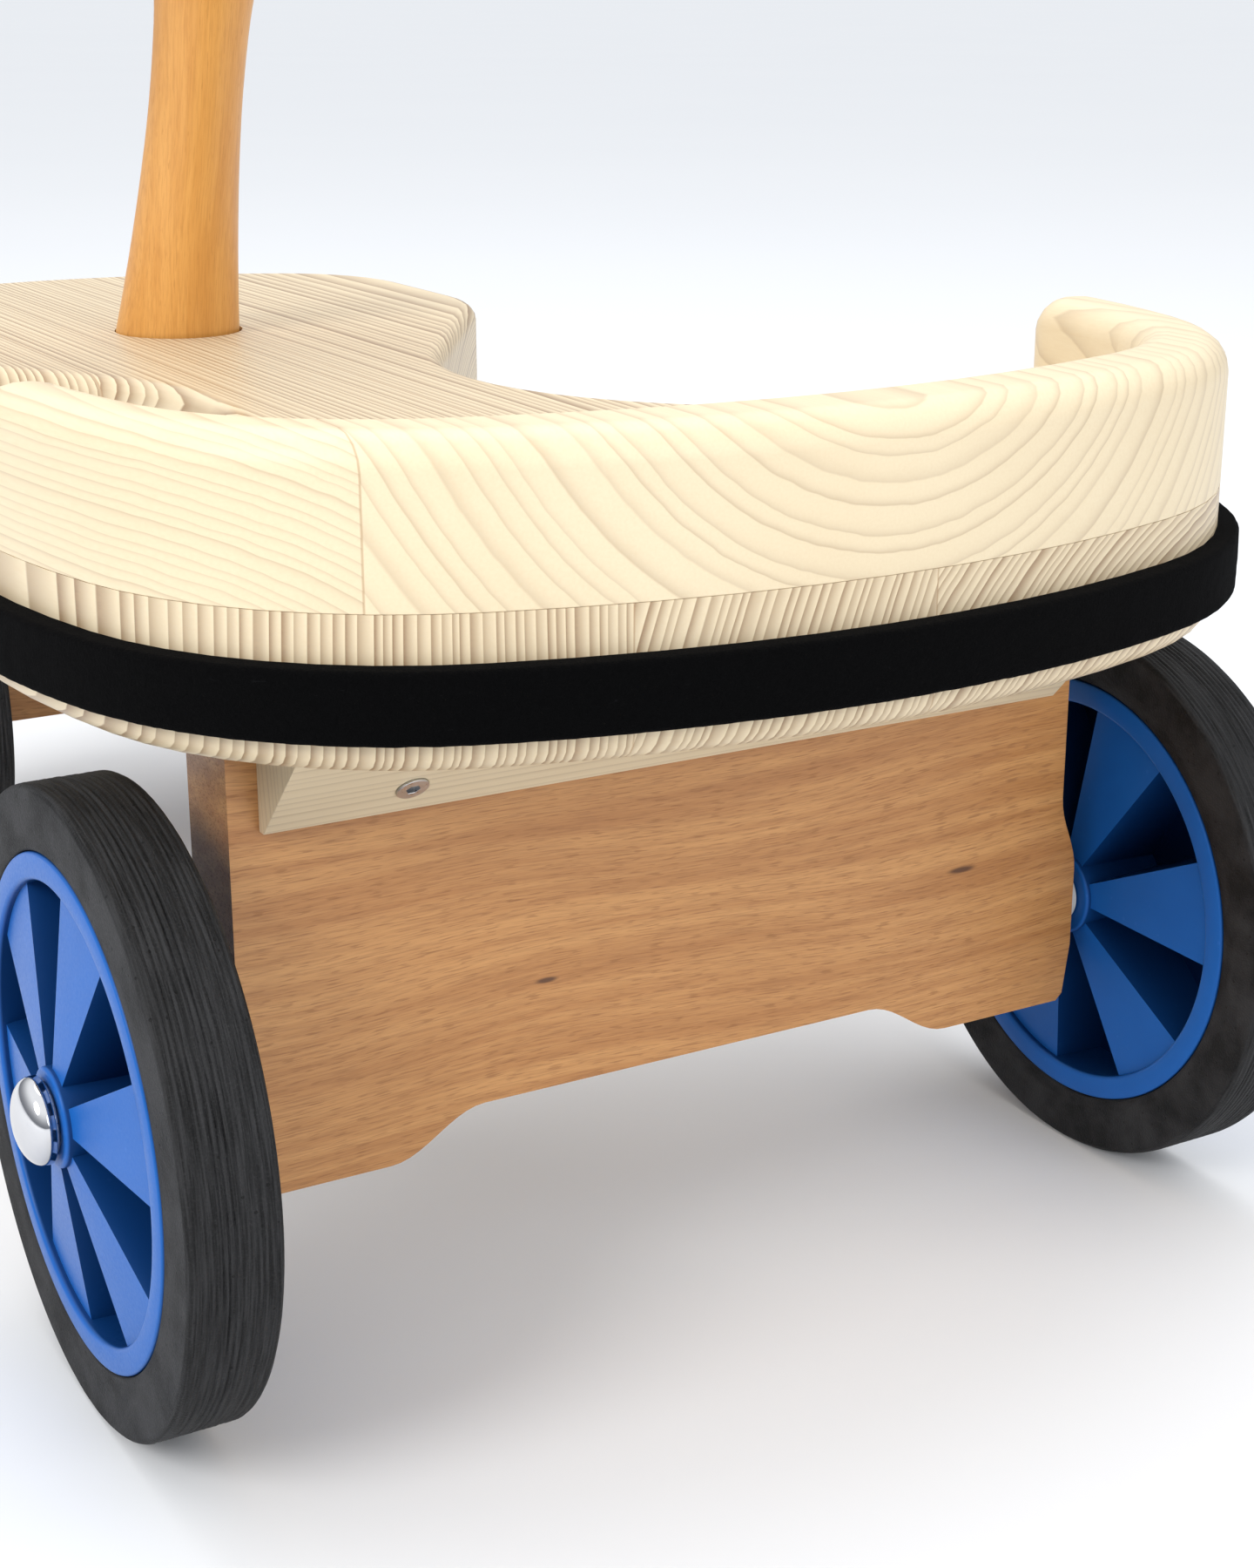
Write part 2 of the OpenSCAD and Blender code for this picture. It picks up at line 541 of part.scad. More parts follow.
// Rear axle
module rear_axle_board() color("peru") in_body() difference() {
    translate([0, 0, wheel_r]) board_blank(
        concat(arch_curve, board_end(rear_board_l, -rear_foot, plate_rise)));
    translate([0, 0, wheel_r]) axle_bore();
    board_dowel_set(dowel_hole_d, dowel_hole_l);
    for (side = [-1, 1], x = rear_screw_xs(side)) on_rear_board(side) on_cleat(x) screw_hole();
}
module rear_board_dowels() color("tan") in_body() board_dowel_set(dowel_d, dowel_l);
module cleat_on_rear_board(side) in_body() difference() {
    on_rear_board(side) cleat_blank(rear_cleat_l);
    for (x = rear_screw_xs(side)) on_rear_board(side) on_cleat(x) screw_hole();
}
module rear_cleat() color("wheat") cleat_on_rear_board(-1);
module inner_cleat() color("wheat") cleat_on_rear_board(1);
module rear_cleat_screws() color("silver") in_body()
    for (side = [-1, 1], x = rear_screw_xs(side)) on_rear_board(side) on_cleat(x) screw();
module rear_axle() color("gray") in_body() translate([0, 0, wheel_r]) axle_rod(rear_track);

// Steering
wedge_screw_inset = 14;
wedge_screw_sink = 0.4;
module wedge_screw_set() for (x = [-1, 1], y = [-1, 1])
    translate([x * (wedge_w / 2 - wedge_screw_inset), y * (wedge_l / 2 - wedge_screw_inset), wedge_face_a])
        rotate([180, 0, 0]) translate([0, 0, -screw_top - wedge_screw_sink]) children();
wedge_room = 100;
module steering_wedge() color("burlywood") difference() {
    at_steering() difference() {
        translate([-wedge_w / 2, -wedge_l / 2, wedge_face_a]) cube([wedge_w, wedge_l, 60]);
        translate([0, 0, wedge_face_a - 1]) cylinder(d = spindle_d + 2 * run_gap, h = 80);
        wedge_screw_set() screw_hole();
    }
    translate([0, 0, plate_z + wedge_room]) cube([2 * body_w, 2 * nose_y, 2 * wedge_room], center = true);
}
module wedge_screws() color("silver") at_steering() wedge_screw_set() screw();
module slide_washer(d, z) at_steering() translate([0, 0, z]) difference() {
    cylinder(d = d, h = slide_t);
    translate([0, 0, -1]) cylinder(d = spindle_d + 2 * foot_gap, h = slide_t + 2);
}
lower_slide_d = spindle_d + 28;
module upper_slide_washer() color("ivory") slide_washer(foot_d - 1, foot_floor_a);
module lower_slide_washer() color("ivory") slide_washer(lower_slide_d, wedge_face_a - slide_t);
module tenon_hole() translate([0, 0, bar_z]) rotate([0, 90, 0])
    cylinder(d = grip_tenon_d + 2 * run_gap, h = 2 * head_d, center = true);
pin_d = 6;
module cross_pin(d) translate([0, 0, front_board_top_a - tenon_l * 0.6])
    rotate([90, 0, 0]) cylinder(d = d, h = board_t, center = true);
module steering_post() color("goldenrod") at_steering() difference() {
    rotate_extrude() polygon(post_profile);
    tenon_hole();
    cross_pin(pin_d + 2 * run_gap);
}
grip_end_r = 9;
grip_edge = 1;
grip_shoulder = head_d / 2 + 1.5;
grip_out = head_d / 2 + grip_l;
module handle(side) at_steering() translate([0, 0, bar_z]) rotate([0, 90 * side, 0])
    rotate_extrude() polygon(concat(
        [[0, 0.5], [grip_tenon_d / 2, 0.5], [grip_tenon_d / 2, grip_shoulder],
            [grip_d / 2 - grip_edge, grip_shoulder], [grip_d / 2, grip_shoulder + grip_edge]],
        [for (u = [0:15:90])
            [grip_d / 2 - grip_end_r * (1 - cos(u)), grip_out - grip_end_r * (1 - sin(u))]],
        [[0, grip_out]]));
module left_handle() color("goldenrod") handle(-1);
module right_handle() color("goldenrod") handle(1);
module turntable() color("peru") at_steering() difference() {
    translate([0, 0, front_board_top_a]) cylinder(d = turntable_d, h = turntable_t, $fn = 96);
    cylinder(d = spindle_d + 2 * run_gap, h = bar_z);
    for (side = [-1, 1], x = front_screw_xs(side)) on_front_board(side) on_cleat(x) screw_hole();
}
module front_axle_board() color("peru") at_steering() difference() {
    board_blank(board_end(front_board_l, -front_foot, front_board_top_a));
    axle_bore();
    translate([0, 0, front_board_top_a - tenon_l - 1]) cylinder(d = tenon_d + 2 * run_gap, h = tenon_l + 2);
    cross_pin(pin_d + 2 * run_gap);
    for (side = [-1, 1], x = front_screw_xs(side)) on_front_board(side) on_cleat(x) screw_hole();
}
module post_cross_pin() color("tan") at_steering() cross_pin(pin_d);
module cleat_on_front_board(side) at_steering() difference() {
    on_front_board(side) cleat_blank(front_cleat_l);
    for (x = front_screw_xs(side)) on_front_board(side) on_cleat(x) screw_hole();
}
module front_board_rear_cleat() color("wheat") cleat_on_front_board(-1);
module front_board_front_cleat() color("wheat") cleat_on_front_board(1);
module front_cleat_screws() color("silver") at_steering()
    for (side = [-1, 1], x = front_screw_xs(side)) on_front_board(side) on_cleat(x) screw();
module front_axle() color("gray") at_steering() axle_rod(front_track);

// Wheels
module rear_left_tyre() color("dimgray") at_rear(-1) tyre_ring();
module rear_left_hub() color("royalblue") at_rear(-1) hub_body(rear_left_phase);
module rear_left_spacer() color("white") at_rear(-1) spacer_ring();
module rear_left_washer() color("silver") at_rear(-1) washer_ring();
module rear_left_cap() color("silver") at_rear(-1) cap_dome();
module rear_right_tyre() color("dimgray") at_rear(1) tyre_ring();
module rear_right_hub() color("royalblue") at_rear(1) hub_body(rear_right_phase);
module rear_right_spacer() color("white") at_rear(1) spacer_ring();
module rear_right_washer() color("silver") at_rear(1) washer_ring();
module rear_right_cap() color("silver") at_rear(1) cap_dome();
module front_left_tyre() color("dimgray") at_front(-1) tyre_ring();
module front_left_hub() color("royalblue") at_front(-1) hub_body(front_left_phase);
module front_left_spacer() color("white") at_front(-1) spacer_ring();
module front_left_washer() color("silver") at_front(-1) washer_ring();
module front_left_cap() color("silver") at_front(-1) cap_dome();
module front_right_tyre() color("dimgray") at_front(1) tyre_ring();
module front_right_hub() color("royalblue") at_front(1) hub_body(front_right_phase);
module front_right_spacer() color("white") at_front(1) spacer_ring();
module front_right_washer() color("silver") at_front(1) washer_ring();
module front_right_cap() color("silver") at_front(1) cap_dome();

seat_plate();
backrest_rim();
rim_dowels();
felt_bumper();
rear_axle_board();
rear_board_dowels();
rear_cleat();
inner_cleat();
rear_cleat_screws();
rear_axle();
rear_left_tyre();
rear_left_hub();
rear_left_spacer();
rear_left_washer();
rear_left_cap();
rear_right_tyre();
rear_right_hub();
rear_right_spacer();
rear_right_washer();
rear_right_cap();
steering_wedge();
wedge_screws();
upper_slide_washer();
lower_slide_washer();
steering_post();
left_handle();
right_handle();
turntable();
front_axle_board();
post_cross_pin();
front_board_rear_cleat();
front_board_front_cleat();
front_cleat_screws();
front_axle();
front_left_tyre();
front_left_hub();
front_left_spacer();
front_left_washer();
front_left_cap();
front_right_tyre();
front_right_hub();
front_right_spacer();
front_right_washer();
front_right_cap();
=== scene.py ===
"""The looks of a wooden balance ride-on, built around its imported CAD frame."""

import json
import math
import random

import bmesh
import bpy
from mathutils import Matrix, Vector, noise

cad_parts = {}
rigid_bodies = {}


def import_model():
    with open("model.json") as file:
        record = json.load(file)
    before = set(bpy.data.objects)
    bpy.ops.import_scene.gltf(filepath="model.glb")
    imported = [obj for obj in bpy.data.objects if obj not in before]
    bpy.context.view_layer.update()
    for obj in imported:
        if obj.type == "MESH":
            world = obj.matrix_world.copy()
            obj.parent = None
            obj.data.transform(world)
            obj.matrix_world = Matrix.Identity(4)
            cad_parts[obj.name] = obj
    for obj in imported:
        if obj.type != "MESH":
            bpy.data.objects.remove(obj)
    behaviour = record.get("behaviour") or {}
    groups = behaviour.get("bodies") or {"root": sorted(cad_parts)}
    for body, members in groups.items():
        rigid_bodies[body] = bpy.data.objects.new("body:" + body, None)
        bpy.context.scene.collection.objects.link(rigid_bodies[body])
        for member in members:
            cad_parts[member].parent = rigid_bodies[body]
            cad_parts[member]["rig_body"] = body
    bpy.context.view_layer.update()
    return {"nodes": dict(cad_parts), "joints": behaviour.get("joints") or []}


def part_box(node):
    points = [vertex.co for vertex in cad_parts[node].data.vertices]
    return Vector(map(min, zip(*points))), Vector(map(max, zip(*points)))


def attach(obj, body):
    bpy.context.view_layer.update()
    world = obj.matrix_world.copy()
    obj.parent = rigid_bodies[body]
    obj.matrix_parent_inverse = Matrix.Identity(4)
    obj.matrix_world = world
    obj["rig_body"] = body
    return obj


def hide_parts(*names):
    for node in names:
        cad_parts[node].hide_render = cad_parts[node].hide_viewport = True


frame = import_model()

MM = 0.001
# Vertices of a CAD mesh nearer than this are one vertex.
WELD = 1e-6
WHEELS = ("rear_left", "rear_right", "front_left", "front_right")
# How far each hub's wedges are turned, in degrees, the same as in the CAD
HUB_TURN = {"rear_left": 14, "rear_right": 20, "front_left": -8, "front_right": -7}
FELT_THICK = 6 * MM

CAMERA_LENS = 57.65
CAMERA_FROM_AXLE = Vector((-0.31058, -0.52233, 0.25373))
CAMERA_DIP = 18.176
CAMERA_TURN = 29.905


# ---------------------------------------------------------------- places

def middle(node):
    low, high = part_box(node)
    return (low + high) / 2


rear_axle_at = middle("rear_axle")
plate_low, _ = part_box("seat_plate")
steer = next(j for j in frame["joints"] if j["name"] == "steer")
lean = math.asin(-Vector(steer["axis"]).y)


def body_of(node):
    return frame["nodes"][node]["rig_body"]


# ---------------------------------------------------------------- meshes

def in_scene(name, mesh):
    """A smoothly shaded object made of the mesh."""
    mesh.polygons.foreach_set("use_smooth", [True] * len(mesh.polygons))
    obj = bpy.data.objects.new(name, mesh)
    bpy.context.scene.collection.objects.link(obj)
    return obj


def new_object(name, verts, faces):
    mesh = bpy.data.meshes.new(name)
    mesh.from_pydata([tuple(v) for v in verts], [], faces)
    mesh.validate()
    return in_scene(name, mesh)


def hold(obj, node, material):
    """obj stands in for the CAD node: it takes the given finish and the node's body, and the node
    is hidden.
    """
    obj.data.materials.clear()
    obj.data.materials.append(material)
    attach(obj, body_of(node))
    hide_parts(node)
    return obj


def settle(obj):
    """Puts the result of obj's modifiers into its mesh."""
    bpy.context.view_layer.update()
    shaped = obj.evaluated_get(bpy.context.evaluated_depsgraph_get())
    mesh = bpy.data.meshes.new_from_object(shaped)
    obj.modifiers.clear()
    obj.data = mesh
    return obj


def finished(node, material, edge, steps=2):
    """The CAD node with its sharp edges eased, so that they catch the light."""
    bm = bmesh.new()
    bm.from_mesh(frame["nodes"][node].data)
    bmesh.ops.remove_doubles(bm, verts=bm.verts, dist=WELD)
    bmesh.ops.dissolve_limit(
        bm, angle_limit=math.radians(0.4), verts=bm.verts, edges=bm.edges, delimit=set()
    )
    mesh = bpy.data.meshes.new(node + "_finished")
    bm.to_mesh(mesh)
    bm.free()
    obj = in_scene(node + "_finished", mesh)
    eased = obj.modifiers.new("eased edges", "BEVEL")
    eased.width = edge
    eased.segments = steps
    eased.limit_method = "ANGLE"
    eased.angle_limit = math.radians(35)
    eased.harden_normals = True
    weighted = obj.modifiers.new("even shading", "WEIGHTED_NORMAL")
    weighted.keep_sharp = True
    weighted.weight = 80
    settle(obj)
    return hold(obj, node, material)


def lathe(name, profile, steps):
    """A body turned about Z from (radius, height) points."""
    ring = len(profile)
    verts = [
        (r * math.cos(a), r * math.sin(a), z)
        for a in (i * math.tau / steps for i in range(steps))
        for r, z in profile
    ]
    faces = []
    for i in range(steps):
        j = (i + 1) % steps
        for k in range(ring):
            m = (k + 1) % ring
            faces.append((i * ring + k, j * ring + k, j * ring + m, i * ring + m))
    return new_object(name, verts, faces)


def arc(centre, r, start, end, steps):
    """Points on an arc of a profile, in (radius, height)."""
    angles = [math.radians(start + (end - start) * i / steps) for i in range(steps + 1)]
    return [(centre[0] + r * math.cos(a), centre[1] + r * math.sin(a)) for a in angles]


def tidy_normals(obj, sharp):
    """Turns the faces outward and keeps edges sharper than the given angle crisp."""
    bm = bmesh.new()
    bm.from_mesh(obj.data)
    bmesh.ops.remove_doubles(bm, verts=bm.verts, dist=WELD)
    bmesh.ops.recalc_face_normals(bm, faces=bm.faces)
    for e in bm.edges:
        e.smooth = not (e.is_manifold and e.calc_face_angle(0) > math.radians(sharp))
    bm.to_mesh(obj.data)
    bm.free()
    return obj


def joined(name, pieces):
    """One object from several that share a place."""
    bm = bmesh.new()
    for piece in pieces:
        bm.from_mesh(piece.data)
        bpy.data.objects.remove(piece)
    mesh = bpy.data.meshes.new(name)
    bm.to_mesh(mesh)
    bm.free()
    return in_scene(name, mesh)


# ---------------------------------------------------------------- shader parts

class Tree:
    """Short names for the nodes of a material or a node group."""

    def __init__(self, tree):
        self.tree = tree

    def add(self, kind, **values):
        n = self.tree.nodes.new(kind)
        for key, value in values.items():
            setattr(n, key, value)
        return n

    def put(self, socket, value):
        if isinstance(value, bpy.types.NodeSocket):
            self.tree.links.new(value, socket)
        elif value is not None:
            socket.default_value = value

    def math(self, operation, *values):
        n = self.add("ShaderNodeMath", operation=operation)
        for i, value in enumerate(values):
            self.put(n.inputs[i], value)
        return n.outputs[0]

    def scaled(self, vector, x, y, z):
        n = self.add("ShaderNodeVectorMath", operation="MULTIPLY")
        self.put(n.inputs[0], vector)
        n.inputs[1].default_value = (x, y, z)
        return n.outputs[0]

    def noise(self, vector, scale, detail=2.0, rough=0.5, lean=0.0):
        n = self.add("ShaderNodeTexNoise")
        self.put(n.inputs["Vector"], vector)
        self.put(n.inputs["Scale"], scale)
        n.inputs["Detail"].default_value = detail
        n.inputs["Roughness"].default_value = rough
        n.inputs["Distortion"].default_value = lean
        return n.outputs[0]

    def span(self, value, low, high, to_low=0.0, to_high=1.0, smooth=False):
        n = self.add("ShaderNodeMapRange")
        n.interpolation_type = "SMOOTHSTEP" if smooth else "LINEAR"
        for i, v in enumerate((value, low, high, to_low, to_high)):
            self.put(n.inputs[i], v)
        return n.outputs[0]

    def mix(self, share, a, b):
        n = self.add("ShaderNodeMix", data_type="RGBA")
        self.put(n.inputs[0], share)
        self.put(n.inputs[6], a)
        self.put(n.inputs[7], b)
        return n.outputs[2]

    def xyz(self, vector):
        n = self.add("ShaderNodeSeparateXYZ")
        self.put(n.inputs[0], vector)
        return n.outputs[0], n.outputs[1], n.outputs[2]

    def vector(self, x, y, z):
        n = self.add("ShaderNodeCombineXYZ")
        for i, v in enumerate((x, y, z)):
            self.put(n.inputs[i], v)
        return n.outputs[0]


def group(name, inputs, outputs):
    """A shader node group with named inputs (name, default) and outputs."""
    tree = bpy.data.node_groups.new(name, "ShaderNodeTree")
    for label, default in inputs:
        is_vector = default is None
        kind = "NodeSocketVector" if is_vector else "NodeSocketFloat"
        socket = tree.interface.new_socket(label, in_out="INPUT", socket_type=kind)
        if not is_vector:
            socket.default_value = default
    for label in outputs:
        tree.interface.new_socket(label, in_out="OUTPUT", socket_type="NodeSocketFloat")
    t = Tree(tree)
    source = t.add("NodeGroupInput")
    sink = t.add("NodeGroupOutput")
    return t, source.outputs, sink.inputs, tree


def growth_rings():
    """Softwood: rings about a pith that runs along Y, with pale early and darker late wood."""
    t, i, o, tree = group(
        "growth rings",
        [
            ("Place", None),
            ("Pith X", 0.0),
            ("Pith Z", 0.0),
            ("Ring Width", 0.003),
            ("Wander", 0.002),
            ("Sharpness", 4.5),
        ],
        ["Late Wood", "Fibre", "Tone"],
    )
    x, y, z = t.xyz(i["Place"])
    drift = t.noise(t.scaled(i["Place"], 9, 2.2, 9), 1.0, 2)
    drift = t.math("MULTIPLY", t.math("SUBTRACT", drift, 0.5), i["Wander"])
    fine = t.noise(t.scaled(i["Place"], 150, 14, 150), 1.0, 1)
    fine = t.math("MULTIPLY", t.math("SUBTRACT", fine, 0.5), t.math("MULTIPLY", i["Wander"], 0.12))
    dx = t.math("ADD", t.math("SUBTRACT", x, i["Pith X"]), drift)
    dz = t.math("ADD", t.math("SUBTRACT", z, i["Pith Z"]), fine)
    far = t.math("SQRT", t.math("ADD", t.math("MULTIPLY", dx, dx), t.math("MULTIPLY", dz, dz)))
    count = t.math("DIVIDE", far, i["Ring Width"])
    uneven = t.noise(t.vector(count, 0.0, 0.0), 0.33, 1)
    count = t.math("ADD", count, t.math("MULTIPLY", uneven, 2.4))
    year = t.math("FLOOR", count)
    season = t.math("FRACT", count)
    dark = t.math("POWER", season, i["Sharpness"])
    stop = t.span(season, 0.92, 1.0, 1.0, 0.0, smooth=True)
    yearly = t.add("ShaderNodeTexWhiteNoise", noise_dimensions="1D")
    t.put(yearly.inputs["W"], year)
    strength = t.span(yearly.outputs[0], 0.0, 1.0, 0.6, 1.0)
    t.put(o["Late Wood"], t.math("MULTIPLY", t.math("MULTIPLY", dark, stop), strength))
    t.put(o["Fibre"], t.noise(t.scaled(i["Place"], 1500, 40, 1500), 1.0, 2))
    t.put(o["Tone"], t.noise(t.scaled(i["Place"], 14, 3, 14), 1.0, 2))
    return tree


def flecks():
    """Beech: short dark flecks and slow bands that run along X."""
    t, i, o, tree = group(
        "beech flecks",
        [("Place", None), ("Density", 0.5)],
        ["Fleck", "Band", "Pore"],
    )
    bend = t.noise(t.scaled(i["Place"], 6, 6, 12), 1.0, 1)
    x, y, z = t.xyz(i["Place"])
    lift = t.math("MULTIPLY", t.math("SUBTRACT", bend, 0.5), 0.02)
    bent = t.vector(x, y, t.math("ADD", z, lift))
    small = t.noise(t.scaled(bent, 170, 1100, 2100), 1.0, 1, 0.4)
    edge = t.math("SUBTRACT", 0.72, t.math("MULTIPLY", i["Density"], 0.2))
    t.put(o["Fleck"], t.span(small, edge, t.math("ADD", edge, 0.12), smooth=True))
    t.put(o["Band"], t.noise(t.scaled(bent, 9, 90, 230), 1.0, 3, 0.6))
    t.put(o["Pore"], t.noise(t.scaled(bent, 90, 700, 2300), 1.0, 3, 0.6))
    return tree


def grit():
    """Fine surface grain with a few pits."""
    t, i, o, tree = group(
        "fine grit", [("Place", None), ("Size", 0.0006)], ["Grit", "Pit"]
    )
    per_metre = t.math("DIVIDE", 1.0, i["Size"])
    t.put(o["Grit"], t.noise(i["Place"], per_metre, 3, 0.6))
    cells = t.add("ShaderNodeTexVoronoi")
    t.put(cells.inputs["Vector"], i["Place"])
    t.put(cells.inputs["Scale"], t.math("MULTIPLY", per_metre, 0.16))
    t.put(o["Pit"], t.span(cells.outputs["Distance"], 0.07, 0.12, 1.0, 0.0, smooth=True))
    return tree


RINGS = growth_rings()
FLECKS = flecks()
GRIT = grit()


class Finish(Tree):
    """A material: its place coordinates, its Principled BSDF and a bump."""

    def __init__(self, name, rough=0.5, **sockets):
        material = bpy.data.materials.new(name)
        material.use_nodes = True
        super().__init__(material.node_tree)
        self.material = material
        self.shader = self.tree.nodes["Principled BSDF"]
        self.place = self.add("ShaderNodeTexCoord").outputs["Object"]
        self.shader.inputs["Roughness"].default_value = rough
        for key, value in sockets.items():
            self.shader.inputs[key.replace("_", " ")].default_value = value

    def use(self, tree, **values):
        n = self.add("ShaderNodeGroup", node_tree=tree)
        for key, value in values.items():
            self.put(n.inputs[key.replace("_", " ")], value)
        return n.outputs

    def colour(self, value):
        self.put(self.shader.inputs["Base Color"], value)

    def roughness(self, value):
        self.put(self.shader.inputs["Roughness"], value)

    def bump(self, height, distance, strength=1.0):
        n = self.add("ShaderNodeBump")
        n.inputs["Strength"].default_value = strength
        n.inputs["Distance"].default_value = distance
        self.put(n.inputs["Height"], height)
        self.put(self.shader.inputs["Normal"], n.outputs[0])


def shade(r, g, b):
    return (r, g, b, 1.0)


# ---------------------------------------------------------------- finishes

def pine(name, staves, along="Y", late=0.55, wander=0.006, sharp=4.5):
    """Glued-up pine. A stave is (left edge, pith x, pith above the plate's foot, ring width).

    The first stave reaches as far left as the wood does, so its own left edge isn't used.
    """
    f = Finish(name, rough=0.42)
    x, y, z = f.xyz(f.place)
    if along == "X":
        x, y = y, x
    here = f.vector(x, y, f.math("SUBTRACT", z, plate_low.z))
    values = list(staves[0][1:])
    seam_core, seam_edge = 0.0001, 0.0003
    seam = 0.0
    for left, *numbers in staves[1:]:
        past = f.math("GREATER_THAN", x, left)
        for k, number in enumerate(numbers):
            values[k] = f.math(
                "ADD",
                f.math("MULTIPLY", past, number),
                f.math("MULTIPLY", f.math("SUBTRACT", 1.0, past), values[k]),
            )
        gap = f.math("ABSOLUTE", f.math("SUBTRACT", x, left))
        seam = f.math("MAXIMUM", seam, f.span(gap, seam_core, seam_edge, 1.0, 0.0))
    rings = f.use(
        RINGS,
        Place=here,
        Pith_X=values[0],
        Pith_Z=values[1],
        Ring_Width=values[2],
        Wander=wander,
        Sharpness=sharp,
    )
    base = f.mix(rings["Tone"], shade(0.700, 0.572, 0.378), shade(0.775, 0.665, 0.470))
    base = f.mix(f.math("MULTIPLY", rings["Late Wood"], late), base, shade(0.215, 0.108, 0.044))
    streak = f.span(rings["Fibre"], 0.3, 0.8, 0.0, 0.16)
    base = f.mix(streak, base, shade(0.60, 0.42, 0.22))
    f.colour(f.mix(f.math("MULTIPLY", seam, 0.5), base, shade(0.36, 0.20, 0.09)))
    f.roughness(f.span(rings["Late Wood"], 0.0, 1.0, 0.46, 0.34))
    grain = f.math("MULTIPLY", rings["Late Wood"], 0.2)
    f.bump(f.math("ADD", grain, f.math("MULTIPLY", rings["Fibre"], 0.4)), 0.00008, 0.3)
    return f.material


def beech(name, light, dark, fleck, along="X", density=0.5, knots=()):
    f = Finish(name, rough=0.42)
    place = f.place
    if along == "post":
        turn = f.add("ShaderNodeVectorRotate", rotation_type="X_AXIS")
        f.put(turn.inputs["Vector"], place)
        turn.inputs["Angle"].default_value = -lean
        px, py, pz = f.xyz(turn.outputs[0])
        place = f.vector(pz, py, px)
    elif along == "Z":
        px, py, pz = f.xyz(place)
        place = f.vector(pz, py, px)
    marks = f.use(FLECKS, Place=place, Density=density)
    base = f.mix(f.span(marks["Band"], 0.3, 0.7, smooth=True), dark, light)
    base = f.mix(f.math("MULTIPLY", marks["Fleck"], 0.36), base, fleck)
    base = f.mix(f.span(marks["Pore"], 0.44, 0.72, 0.0, 0.42), base, fleck)
    for at, size in knots:
        away = f.add("ShaderNodeVectorMath", operation="SUBTRACT")
        f.put(away.inputs[0], f.place)
        away.inputs[1].default_value = at
        stretched = f.scaled(away.outputs[0], 1 / size[0], 0.0, 1 / size[1])
        length = f.add("ShaderNodeVectorMath", operation="LENGTH")
        f.put(length.inputs[0], stretched)
        mark = f.span(length.outputs["Value"], 0.35, 1.0, 0.85, 0.0, smooth=True)
        base = f.mix(mark, base, shade(0.060, 0.020, 0.008))
    f.colour(base)
    f.roughness(f.span(marks["Fleck"], 0.0, 1.0, 0.40, 0.52))
    f.bump(marks["Pore"], 0.00008, 0.45)
    return f.material


def rubber():
    f = Finish("tyre rubber", rough=0.68, Specular_IOR_Level=0.26)
    grain = f.use(GRIT, Place=f.place, Size=0.0006)
    streak = f.noise(f.scaled(f.place, 55, 55, 1700), 1.0, 3, 0.65)
    # Painted shade: the low parts of the streaks, which the bump sinks into grooves, take a
    # near-black groove colour, as the shade in them.
    groove, ridge = shade(0.0022, 0.0022, 0.0026), shade(0.023, 0.023, 0.0245)
    base = f.mix(f.span(streak, 0.38, 0.62), groove, ridge)
    base = f.mix(f.span(grain["Grit"], 0.5, 0.85, 0.0, 0.5), base, shade(0.048, 0.048, 0.050))
    # Painted shade: the pits, which the bump also sinks, are darkened almost to black.
    f.colour(f.mix(f.math("MULTIPLY", grain["Pit"], 0.8), base, shade(0.003, 0.003, 0.003)))
    f.roughness(f.span(grain["Grit"], 0.2, 0.8, 0.56, 0.82))
    height = f.math("SUBTRACT", grain["Grit"], f.math("MULTIPLY", grain["Pit"], 0.8))
    f.bump(f.math("ADD", height, streak), 0.00034, 0.8)
    return f.material


def hub_plastic():
    f = Finish("blue hub plastic", rough=0.30, Specular_IOR_Level=0.16)
    grain = f.use(GRIT, Place=f.place, Size=0.0009)
    flow = f.noise(f.place, 60.0, 2)
    base = f.mix(flow, shade(0.009, 0.100, 0.385), shade(0.012, 0.120, 0.450))
    base = f.mix(f.math("MULTIPLY", grain["Pit"], 0.15), base, shade(0.06, 0.20, 0.62))
    # Painted shade: where the place along the axle times the normal's axle part is small, in the
    # hub's pockets and on its inward-facing wedges, the blue is darkened almost to black, as the
    # shade that falls there.
    _, _, along = f.xyz(f.place)
    _, _, facing = f.xyz(f.add("ShaderNodeTexCoord").outputs["Normal"])
    deep = f.span(f.math("MULTIPLY", along, facing), -0.004, 0.010, 1.0, 0.0, smooth=True)
    f.colour(f.mix(f.math("MULTIPLY", deep, 0.95), base, shade(0.0006, 0.0045, 0.030)))
    f.roughness(f.span(grain["Grit"], 0.3, 0.7, 0.30, 0.40))
    f.bump(grain["Grit"], 0.00005, 0.35)
    return f.material


def felt():
    f = Finish("black felt", rough=0.95, Specular_IOR_Level=0.02)
    f.shader.inputs["Sheen Weight"].default_value = 0.01
    f.shader.inputs["Sheen Roughness"].default_value = 0.5
    tufts = f.noise(f.place, 900.0, 4, 0.7, lean=1.5)
    lint = f.noise(f.scaled(f.place, 90, 90, 700), 1.0, 2, 0.6, lean=2.0)
    base = f.mix(tufts, shade(0.0007, 0.0007, 0.0008), shade(0.0034, 0.0034, 0.0037))
    f.colour(f.mix(f.span(lint, 0.72, 0.8, 0.0, 0.3), base, shade(0.022, 0.022, 0.024)))
    f.roughness(f.span(tufts, 0.0, 1.0, 0.85, 1.0))
    f.bump(tufts, 0.0006, 0.8)
    return f.material


def metal(name, light, dark, rough, brushed=False):
    f = Finish(name, rough=rough, Metallic=1.0)
    scale = (400, 3000, 3000) if brushed else (300, 300, 300)
    wear = f.noise(f.scaled(f.place, *scale), 1.0, 2)
    f.colour(f.mix(wear, dark, light))
    f.roughness(f.span(wear, 0.2, 0.8, rough * 0.8, rough * 1.3))
    f.bump(wear, 0.00002, 0.3)
    return f.material


